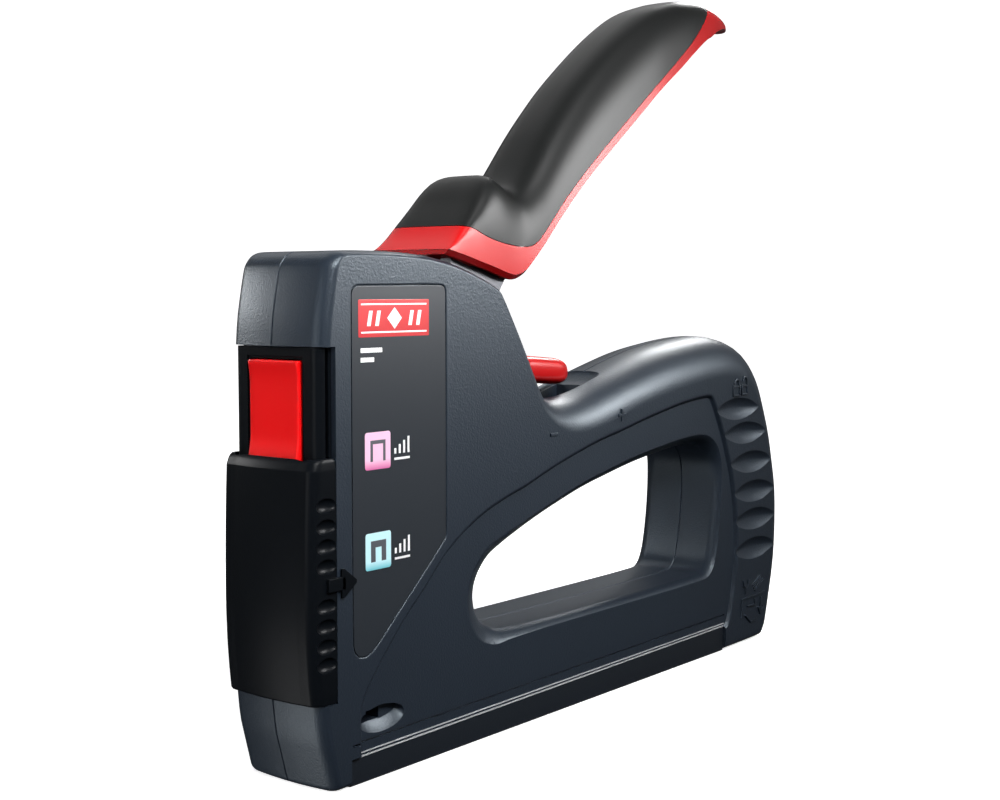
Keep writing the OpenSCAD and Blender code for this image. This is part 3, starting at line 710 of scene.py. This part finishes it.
# the screw heads take the place of the padlocks on the far side
marks_left = mirrored(side_marks("marks_tmp", SIGNS[6:]), "marks_left")
bpy.data.objects.remove(bpy.data.objects["marks_tmp"])
for ob in (marks, marks_left):
    piece(ob, "housing", "housing")


# ---------------- label
def film(name, q, y0, y1, soft=2, reach=0.5, edge=0.08):
    """Thin sheet on the side face, from y0 out to y1, with a softened outer edge."""
    q = soften(hold_corners([list(p) + [0, 0] for p in q], reach=reach), soft) if soft else q
    ms = [mitre(q, i) for i in range(len(q))]
    rings = [[(p[0] + m[0] * k, y, p[1] + m[1] * k) for p, m in zip(q, ms)]
             for y, k in ((y0, 0), (y1 + edge * 0.5, 0), (y1, edge))]
    return skin(name, rings)


def inset(q, d):
    ms = [mitre(q, i) for i in range(len(q))]
    return [(p[0] + m[0] * d, p[1] + m[1] * d) for p, m in zip(q, ms)]


def flat_colour(name, rgb, rough, low=None, z0=0.0, z1=1.0):
    """Printed colour; with low, it runs from low at z0 to rgb at z1 (mm)."""
    m = shader(name, rgb, rough, spec=0.5, grain=(1.2, 0.002))
    nt = m.node_tree
    tc = nt.nodes.new("ShaderNodeTexCoord")
    sep = nt.nodes.new("ShaderNodeSeparateXYZ")
    nt.links.new(tc.outputs["Object"], sep.inputs["Vector"])
    r = nt.nodes.new("ShaderNodeMapRange")
    r.inputs["From Min"].default_value = z0 * 0.001
    r.inputs["From Max"].default_value = z1 * 0.001
    mix = nt.nodes.new("ShaderNodeMix")
    mix.data_type = "RGBA"
    mix.inputs["A"].default_value = (*(low or rgb), 1)
    mix.inputs["B"].default_value = (*rgb, 1)
    nt.links.new(sep.outputs["Z"], r.inputs["Value"])
    nt.links.new(r.outputs["Result"], mix.inputs["Factor"])
    nt.links.new(mix.outputs["Result"], nt.nodes["Principled BSDF"].inputs["Base Color"])
    return m


PRINT = {
    "badge": flat_colour("print_red", (0.62, 0.018, 0.022), 0.3, (0.5, 0.01, 0.014), 90, 99),
    "white": flat_colour("print_white", (0.85, 0.85, 0.86), 0.4),
    "pink": flat_colour("print_pink", (0.86, 0.5, 0.68), 0.3, (0.62, 0.12, 0.32), 64.2, 66.2),
    "cyan": flat_colour("print_cyan", (0.52, 0.8, 0.86), 0.3, (0.1, 0.48, 0.56), 43.6, 45.4),
    "ink": flat_colour("print_ink", (0.07, 0.075, 0.09), 0.4),
}
Y_FILM = -HW + 0.06      # face of the label


def staple_sign(x, z, w, h, t):
    """Open-ended staple, drawn with wire of thickness t."""
    return [(x, z), (x + t, z), (x + t, z + h - t), (x + w - t, z + h - t), (x + w - t, z),
            (x + w, z), (x + w, z + h), (x, z + h)]


def label_set(side):
    """Label of one side: film, badge, rules and two tiles with staple signs."""
    parts = [(film("film", inset(LABEL, 0.22), -HW + 0.295, Y_FILM), "label", "label_film")]
    y = Y_FILM
    field = rect(4.8, 91.0, 26.2, 98.6)
    badge = film("badge", field, y + 0.05, y - 0.03, reach=0.7)
    parts.append((badge, PRINT["badge"], "label_badge"))
    rim = inset(field, 0.75)
    bars = [film("r1", rect(rim[0][0], rim[0][1], rim[1][0], rim[0][1] + 0.45), y, y - 0.04, 0),
            film("r2", rect(rim[0][0], rim[2][1] - 0.45, rim[1][0], rim[2][1]), y, y - 0.04, 0)]
    # generic row: a diamond between two pairs of slanted bars
    bars.append(film("d", [(15.5, 92.5), (17.8, 94.8), (15.5, 97.1), (13.2, 94.8)], y, y - 0.04, 1,
                     reach=0.4))
    for x in (7.2, 9.6, 19.6, 22.0):
        bars.append(film("b", [(x, 93.2), (x + 1.2, 93.2), (x + 1.9, 96.4), (x + 0.7, 96.4)], y,
                         y - 0.04, 1, reach=0.3))
    # short rule under the badge and length bars beside the tiles
    bars.append(film("u1", rect(5.4, 87.9, 11.8, 88.9), y, y - 0.02, 1, reach=0.3))
    bars.append(film("u2", rect(5.4, 86.0, 9.4, 87.0), y, y - 0.02, 1, reach=0.3))
    for z in (65.9, 45.2):
        for i in range(4):
            bars.append(film("t", rect(15.2 + 1.35 * i, z + 1.0, 15.9 + 1.35 * i,
                                       z + 2.2 + 0.75 * i), y, y - 0.02, 1, reach=0.2))
        bars.append(film("t2", rect(15.2, z - 0.3, 20.0, z + 0.25), y, y - 0.02, 1, reach=0.15))
    parts.append((join("label_print", bars), PRINT["white"], "label_print"))
    for z, col, t in ((64.1, "pink", 0.85), (43.6, "cyan", 1.45)):
        tile = film("tile", rect(6.4, z, 14.2, z + 7.8), y + 0.05, y - 0.05, reach=1.7, edge=0.2)
        parts.append((tile, PRINT[col], "label_tile_" + col))
        ink = film("ink", staple_sign(8.0, z + 1.7, 4.6, 4.4, t), y, y - 0.07, 0)
        parts.append((ink, PRINT["ink"], "label_ink_" + col))
    for ob, mat, name in parts:
        if side == "left":
            flipped = mirrored(ob, "tmp")
            bpy.data.objects.remove(ob)
            ob = flipped
        node = ["label_" + side] if name == "label_film" else []
        piece(ob, "housing", mat, node, name=name + "_" + side)


label_set("right")
label_set("left")


# ---------------- smaller helpers for the other parts
def round_edges(ob, width, segments=3, angle=35.0):
    """Rounds every edge that turns by more than angle."""
    bm = bmesh.new()
    bm.from_mesh(ob.data)
    sharp = [e for e in bm.edges
             if len(e.link_faces) == 2 and e.calc_face_angle() > math.radians(angle)]
    bmesh.ops.bevel(bm, geom=sharp, offset=width * 0.001, segments=segments, profile=0.5,
                    affect="EDGES", clamp_overlap=True)
    bm.to_mesh(ob.data)
    bm.free()
    return ob


def prism_z(name, q, z0, z1):
    return skin(name, [[(p[0], p[1], z0) for p in q], [(p[0], p[1], z1) for p in q]])


def curve_through(rows, x):
    """Values of a table at x, on a smooth curve through its rows (the first column is x)."""
    k = max(i for i in range(len(rows) - 1) if rows[i][0] <= x or i == 0)
    a, b, c, d = (rows[max(k - 1, 0)], rows[k], rows[k + 1], rows[min(k + 2, len(rows) - 1)])
    h = c[0] - b[0]
    t = min(max((x - b[0]) / h, 0.0), 1.0)
    out = []
    for i in range(1, len(b)):
        s = (c[i] - b[i]) / h
        m0 = s if b is a else (c[i] - a[i]) / (c[0] - a[0])
        m1 = s if d is c else (d[i] - b[i]) / (d[0] - b[0])
        out.append((2 * t ** 3 - 3 * t * t + 1) * b[i] + (t ** 3 - 2 * t * t + t) * h * m0
                   + (3 * t * t - 2 * t ** 3) * c[i] + (t ** 3 - t * t) * h * m1)
    return out


def coil(name, axis, a0, a1, centre, r, wire, turns, closed=1.0, segs=22, sides=8):
    """Round-wire spring along axis from a0 to a1, with closed end turns."""
    total = turns + 2 * closed
    steps = int(total * segs)
    free = (a1 - a0 - wire) - 2 * closed * wire

    def lift(turn):
        if turn < closed:
            return turn * wire
        if turn > total - closed:
            return a1 - a0 - wire - (total - turn) * wire
        return closed * wire + free * (turn - closed) / turns
    rings = []
    for j in range(steps + 1):
        turn = j * total / steps
        a = 2 * math.pi * turn
        ring = []
        for i in range(sides):
            b = 2 * math.pi * i / sides
            q = r + wire / 2 * math.cos(b)
            u, v = q * math.cos(a), q * math.sin(a)
            w = a0 + wire / 2 + lift(turn) + wire / 2 * math.sin(b)
            ring.append((centre[0] + u, centre[1] + v, w) if axis == "z"
                        else (w, centre[0] + u, centre[1] + v))
        rings.append(ring)
    return skin(name, rings)


# ---------------- front frame and lock button
section = []
for s in (-1, 1):
    corner = [(-3.5 + 2 * math.cos(math.radians(a)), s * (10 + 2 * math.sin(math.radians(a))))
              for a in range(180, 89, -15)]
    groove = [(-3.6, s * 12), (-3.6, s * 11), (-2.6, s * 11), (-2.6, s * 12), (-1.8, s * 12)]
    part = corner + groove
    section += part if s < 0 else part[::-1]
plate = prism_z("frame_plate", section, 18.6, 89.2)
window = round_edges(box("w", (-9, -7.45, 59.7), (-2.6, 7.45, 86.9)), 0.7, 3, 60)
lip = box("lip", (-5.6, -8.1, 59.1), (-5.15, 8.1, 87.5))
boolean(plate, [round_edges(lip, 0.2, 1, 60), window])
piece(plate, "housing", "black", ["front_frame"], name="front_plate")


def button_front(z):
    """Front of the lock button: a hollow for the finger over a ledge that curls outwards."""
    t = min(max((z - 63.5) / 8.5, 0.0), 1.0)
    hollow = -6.95 + 1.05 * (3 * t * t - 2 * t ** 3)
    top = max(0.0, (z - 81.5) / 5.1)
    return hollow - 0.55 * top * top


rings = []
for y, cut in ((-7.2, 0.55), (-7.08, 0.2), (-6.8, 0.03), (-6.4, 0.0), (6.4, 0.0), (6.8, 0.03),
               (7.08, 0.2), (7.2, 0.55)):
    zs = [60 + cut * 0.6] + [60.4 + 25.8 * i / 26 for i in range(27)] + [86.6 - cut * 0.6]
    ring = []
    for z in zs:
        edge = 0.3 if z in (zs[0], zs[-1]) else 0.0
        ring.append((button_front(z) + cut + edge, y, z))
    ring += [(-4.35, y, 86.6 - cut * 0.6), (-4.35, y, 60 + cut * 0.6)]
    rings.append(ring)
# the lock button wears the lighter copy of the red: painted light, its plastic is the lever's red
piece(skin("button", rings), "button", "red_painted_lit", ["lock_button"], angle=50,
      name="lock_key")

LEAF_X, LEAF_OUT, LEAF_IN, LEAF_Y = 4.4, 8.58, 8.3, 2.8     # centre, radii and half width
leaves = []
for z in (66, 80):
    rings = []
    for a in range(-32, 33, 4):
        c, s = math.cos(math.radians(a)), math.sin(math.radians(a))
        rings.append([(LEAF_X - r * c, y, z + r * s) for r, y in (
            (LEAF_OUT, -LEAF_Y), (LEAF_OUT, LEAF_Y), (LEAF_IN, LEAF_Y), (LEAF_IN, -LEAF_Y))])
    leaves.append(skin("leaf", rings))
ob = piece(join("leaves", leaves), "housing", "spring", ["button_spring"],
           name="button_leaves")
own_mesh(ob)


# ---------------- selector slide
def slide_front(z):
    """Front of the slide at the seam plane: fullest a little below the middle."""
    return -9.5 + (0.0009 if z > 38 else 0.0032) * (z - 38) ** 2


def slide_section(z, shrink=0.0, back=0.0):
    xf = slide_front(z) + back
    half = 13.1 - shrink
    pts = []
    flat, r = 9.4, 2.5      # half width of the front face, and its corner radius
    for i in range(13):
        y = flat * i / 12
        pts.append((xf + y * y / 150, y))
    cx, cy = xf + flat ** 2 / 150 + r, half - r
    for a in range(170, 89, -10):
        pts.append((cx + r * math.cos(math.radians(a)), cy + r * math.sin(math.radians(a))))
    pts += [(-4.5, half), (-1.8, half)]
    return [(x, -y, z) for x, y in pts[::-1]] + [(x, y, z) for x, y in pts[1:]]


# z, how much narrower, how far the front lies back
levels = [(SLIDE_BOTTOM, 0.45, 0.45), (18.55, 0.16, 0.16), (18.9, 0.0, 0.0)]
levels += [(18.9 + 46.2 * i / 22, 0, 0) for i in range(1, 23)]
levels += [(65.3, 0.02, 0.03), (66.5, 0.12, 0.4), (67.1, 0.22, 0.75), (67.4, 0.42, 1.0)]
slide = skin("slide", [slide_section(*lv) for lv in levels])
# the hollow behind the slide's front wall, around the front frame's grooves
room = [(-7.35, -10.0), (-5.4, -12.1), (-3.5, -12.1), (-3.5, -11.1), (-2.7, -11.1),
        (-2.7, -12.1), (5, -12.1)]
cuts = [prism_z("room", room + [(x, -y) for x, y in room[::-1]], 0, 100)]
for z in (58.3, 54.1, 50.2, 46.2, 38.3, 34.3, 30.3, 26.6):
    for s in (-1, 1):
        cuts.append(ellipsoid("scoop", (-4.6, s * 13.5, z), (2.9, 1.25, 1.65), 32, 16))
boolean(slide, cuts)
arrows = []
for s in (-1, 1):
    a, b = (13.85, 12.5) if s > 0 else (-12.5, -13.85)
    stem = round_edges(box("stem", (-4.6, b, 41.1), (0.2, a, 43.8)), 0.2, 2)
    head = prism("head", [(-0.9, 39.5), (-0.2, 39.5), (3.3, 42.1), (3.3, 42.8), (-0.2, 45.4),
                          (-0.9, 45.4)], *((13.26, 13.85) if s > 0 else (-13.85, -13.26)))
    arrows += [stem, round_edges(head, 0.15, 2)]
piece(join("slide", [slide] + arrows), "selector", "black", ["selector_slide"], angle=35,
      name="selector_slide_shape")

# ---------------- lever
# x, rim z, crest z, share of the half width
LEVER = [
    (35.2, 108.2, 109.2, 0.96), (38.5, 107.5, 112.2, 0.97), (42, 106.7, 116.1, 0.98),
    (45.5, 105.8, 120.0, 0.985), (48.5, 105.1, 123.5, 0.99), (51, 104.5, 125.7, 0.99),
    (53.5, 103.8, 126.5, 0.99), (56, 103.2, 126.2, 0.985), (59, 102.9, 124.9, 0.98),
    (62.4, 104.2, 124.0, 0.975), (65, 106.4, 125.0, 0.975), (68, 109.3, 127.9, 0.975),
    (72, 113.4, 132.6, 0.98), (77, 118.3, 138.6, 0.98), (83, 123.7, 145.0, 0.98),
    (90, 129.5, 151.6, 0.98), (100, 137, 159.6, 0.98), (110, 144.5, 166.6, 0.98),
    (120, 151.9, 172.3, 0.97), (131, 158.9, 176.1, 0.92), (138, 163.4, 177.7, 0.87),
    (146, 167.8, 178.6, 0.77), (150, 169.3, 178.5, 0.7), (154, 171.1, 178, 0.62),
    (158, 172.4, 177.3, 0.53), (162, 173.3, 176.4, 0.42), (165, 173.4, 175.5, 0.32),
    (167, 173.3, 174.9, 0.2), (168, 173.3, 174.3, 0.08)]
SOFT = [
    (30, 118), (39.5, 114.6), (43, 114.2), (47, 112.5), (53, 111), (61, 110.2), (65, 110.5),
    (68, 112), (75, 119), (80, 123.8), (90, 132), (100, 139.5), (110, 147), (120, 154.4),
    (129.5, 160.8), (132.6, 163), (136, 165.4), (140, 168.4), (143.5, 171.2), (146.8, 173.8),
    (150, 176.5), (151.6, 178), (152.5, 190), (30, 190)]
# x, power of the section (high is boxy), how far the sides lean in
SHAPE = [(35, 8, 0), (42, 6, 0), (49, 4.6, 0), (56, 3.9, 0.02), (64, 3.6, 0.08), (72, 3.4, 0.12),
         (90, 3.3, 0.12), (150, 4, 0.14), (168, 4, 0)]
LEVER_HALF = 11.5      # half width of the lever at its widest


def blend(x, *stops):
    """Straight-line value at x between (x, value) stops."""
    for (a, va), (b, vb) in zip(stops, stops[1:]):
        if x <= b:
            return va + (vb - va) * max(x - a, 0.0) / (b - a)
    return stops[-1][1]


def lever_section(x, inset_by=0.0, down=0.0, drop=0.0, slim=1.0):
    """Section across the lever: boxy at the front edge, an arch on the pad, a lean grip behind.

    A positive inset_by gives the inner shape for a cutter. down lowers its bottom corners and drop
    its bottom edge. slim is a share of the width.
    """
    steps = 15
    rim, crest, share = curve_through(LEVER, x)
    n, lean = curve_through(SHAPE, x)
    w = LEVER_HALF * share * slim - inset_by
    h = crest - rim - inset_by
    # chamfer along the bottom edge, wider on the pad than on the grip
    k = 0.0 if inset_by or drop else min(blend(x, (60, 1.1), (70, 0.15)), 0.3 * w)
    pts = [(w - k, -drop), (w, k - drop)]
    for i in range(1, steps):
        a = math.pi / 2 * i / steps
        up = math.sin(a) ** (2 / n)
        y = w * math.cos(a) ** (2 / n) * (1 - lean * up ** 1.5)
        pts.append((y, k + (h - k) * up))
    pts.append((0.0, h))
    both = pts + [(-y, z) for y, z in pts[-2::-1]]
    return [(x, y, rim + z - (down if i in (0, len(both) - 1) else 0))
            for i, (y, z) in enumerate(both)]


def lever_skin(name, x0, x1, step, hollow=False):
    n = int((x1 - x0) / step)
    xs = [x0 + (x1 - x0) * i / n for i in range(n + 1)]
    if hollow:
        return skin(name, [lever_section(x, blend(x, (130, 2.0), (160, 1.2)), 6.0) for x in xs])
    return skin(name, [lever_section(x) for x in xs])


def core_skin(name):
    """The space under the soft cover."""
    xs = [35.3 + 132.4 * i / 89 for i in range(90)]
    return skin(name, [lever_section(x, inset_by=min(2.5, 1.2 + 0.04 * (168 - x)), drop=6.0,
                                     slim=0.99) for x in xs])


def soft_outline(shift):
    """Side view of the soft cover, with its lower edge moved up by shift."""
    q = [[x, z + (shift if z < 189 else 0)] for x, z in SOFT]
    return soften([p + [0, 0] for p in q], 2)


cover = lever_skin("cover", 35.2, 168, 1.1)
red_part = add_object("red_part", cover.data.copy())
boolean(cover, [prism("k", soft_outline(0.14), -20, 20)], "INTERSECT")
boolean(cover, [core_skin("core")])
piece(cover, "lever", "soft", ["lever_grip", "front_pad"], angle=38, weighted=False,
      name="lever_cover")

boolean(red_part, [prism("k", soft_outline(-0.02), -20, 20),
                   lever_skin("hollow", 45.5, 163.5, 1.5, True)])
webs = core_skin("webs")
blocks = [box("web", (x, -20, 100), (x + 2, 20, 190)) for x in (58, 76, 94, 112, 130)]
blocks.append(prism("block", [(40, 106.5), (57.9, 105.5), (57.9, 126), (40, 118)], -20, 20))
boolean(webs, [join("blocks", blocks), lever_skin("outer2", 35.3, 150, 2.0)], "INTERSECT")
# bracket around the pivot pin, one cheek on each side
ears = []
for s in (-1, 1):
    y0, y1 = (5.5, 8.5) if s > 0 else (-8.5, -5.5)
    ears.append(cylinder("ear", (PIVOT[0], y0, PIVOT[1]), "y", 5.6, 3))
    ears.append(prism("arm", [(PIVOT[0] - 5.1, PIVOT[1] + 0.7), (PIVOT[0] + 5.1, PIVOT[1] + 0.7),
                              (53.2, 100.3), (55.9, 100.2), (58.4, 103.6), (58.2, 106),
                              (PIVOT[0] - 4, PIVOT[1] + 11.5)], y0 + 0.01, y1 - 0.01))
inside = join("inside", ears)
seats = [prism("seat", [(36, 100), (53.4, 100), (53.4, 105.9), (37.6, 109)], -2.52, 2.52)
         for _ in (inside, red_part)]
boolean(inside, [cylinder("hole", (PIVOT[0], -12, PIVOT[1]), "y", 2.55, 24), seats[0]])
boolean(red_part, [seats[1]])
red_part = join("rim", [red_part, webs])
piece(red_part, "lever", "red", ["lever_frame"], angle=38, weighted=False, name="lever_rim")
piece(inside, "lever", "dark_steel", angle=35, weighted=False,
      name="lever_bracket")


# ---------------- power adjuster
def superellipse(v, n=2.7):
    """Cosine or sine v of a round section, turned into that of a squarish one."""
    return math.copysign(abs(v) ** (2 / n), v)


NOSE_X, NOSE_L = 86.5, 5.2      # where the bar's rounded end starts, and its length
rings = []
stops = [49.2, 49.5, 50] + [50 + (NOSE_X - 50) * i / 16 for i in range(1, 17)]
stops += [NOSE_X + NOSE_L * math.sin(math.radians(a))
          for a in (10, 20, 30, 40, 50, 60, 70, 78, 84, 88)]
for x in stops:
    k = math.sqrt(max(0.0, 1 - (max(0.0, x - NOSE_X) / NOSE_L) ** 2)) * (0.9 if x < 49.4 else 1.0)
    ring = []
    for i in range(36):
        a = 2 * math.pi * i / 36
        y = superellipse(math.cos(a)) * 4.0 * (0.15 + 0.85 * k)
        z = superellipse(math.sin(a)) * 3.3 * (0.05 + 0.95 * k)
        ring.append((x, y, 81.5 - 0.085 * max(0.0, x - 76) + z))
    rings.append(ring)
bar = skin("bar", rings)
wings = round_edges(box("wings", (49.2, -7, 78.4), (51.8, 7, 82)), 0.3, 2)
piece(join("bar", [bar, wings]), "adjuster", "red", ["power_adjuster"], angle=40,
      name="power_bar")


# ---------------- lever catch
blocks = [round_edges(catch_box("c", (-2.4, -3.5, -4.6), (2.6, 3.5, 4.6)), 0.35, 3)]
for c in (-3, 0, 3):
    blocks.append(round_edges(catch_box("r", (2.3, -3.0, c - 0.6), (3.3, 3.0, c + 0.6)), 0.35, 3))
piece(join("catch", blocks), "catch", "black", ["lock_slide"], name="catch_slider")

# ---------------- rail, plug and screws
rail = prism("rail", [(2.3, 0), (152, 0), (152, 7.0), (2.3, 5.8)], -12.3, 12.3)
round_edges(rail, 0.3, 2, 60)
boolean(rail, [box("ch", (-1, -6.8, 1.0), (160, 6.8, 20))])
piece(rail, "housing", "rail", ["magazine_base"], name="bottom_rail")

# thin metal strips along the top of the rail, coloured light grey as a painted highlight on their edges
strips = []
for s in (-1, 1):
    y = sorted((s * 12.0, s * 12.38))
    strips.append(prism("t", [(2.4, 5.55), (151.9, 6.75), (151.9, 7.0), (2.4, 5.8)], *y))
    strips.append(prism("t", [(2.6, 6.35), (152.3, 7.5), (152.3, 7.72), (2.6, 6.57)], *y))
piece(join("trim", strips), "housing", "trim", name="rail_trim_painted_highlight")

plug = boolean(round_edges(box("p", (152.05, -6.6, 1.6), (163, 6.6, 12.1)), 0.3, 2),
               [round_edges(box("q", (161.9, -8, 1.6), (177.4, 8, 12.1)), 0.5, 3)], "UNION")
boolean(plug, [cylinder("f", (178.5, -4.5, 0), "y", 4.2, 9)])
piece(plug, "drawer", "black", ["magazine_plug"], name="drawer_plug")

heads = []
for i, (x, z) in enumerate(SCREWS):
    head = round_edges(cylinder("h", (x, 11.6, z), "y", 2.9, 1.2, 32), 0.25, 3, 60)
    shank = cylinder("s", (x, -8, z), "y", 1.5, 19.7, 20)
    turn = 0.4 + 0.9 * i      # every screw stops at its own angle
    cross = []
    for k in (0, 1):
        c, s = math.cos(turn + k * math.pi / 2), math.sin(turn + k * math.pi / 2)
        cross.append(skin("x", [
            [(x + u * c - v * s, y, z + u * s + v * c) for u, v in ((-a, -b), (a, -b), (a, b), (-a, b))]
            for y, a, b in ((12.0, 1.2, 0.25), (14.0, 1.6, 0.35))]))
    boolean(head, cross)
    heads += [head, shank]
piece(join("screws", heads), "housing", "steel", ["shell_screws"], name="body_screws")

# ---------------- springs
POWER_X, POWER_TOP = 7, 98.2      # axis and fixed end of the power spring
FEED_Z, FEED_END = 6.2, 149.8     # axis and fixed end of the pusher spring
ob = piece(coil("power_coil", "z", 58.6, POWER_TOP, (POWER_X, 0), 5.5, 2.0, 6.0, 1.0),
           "housing", "spring", ["power_spring"], name="power_coil")
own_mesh(ob)
ob = piece(coil("feed_coil", "x", 12.1, FEED_END, (0, FEED_Z), 2.0, 0.6, 52, 2.0, 12, 6),
           "drawer", "spring", ["pusher_spring"], name="feed_coil")
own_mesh(ob)

# ---------------- CAD parts that are shown as they are
CARRIED = {
    "nose_plate": "steel", "striker_blade": "steel", "plunger": "dark_steel", "spring_seat": "black",
    "bumper": "bumper", "lever_pin": "steel", "lever_spring": "spring", "lever_arm": "steel",
    "magazine_channel": "steel", "track_core": "steel", "pusher_rod": "steel",
    "pusher": "dark_steel"}
for node, mat in CARRIED.items():
    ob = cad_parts[node]
    paint(ob, MAT[mat])
    smooth(ob, 30)
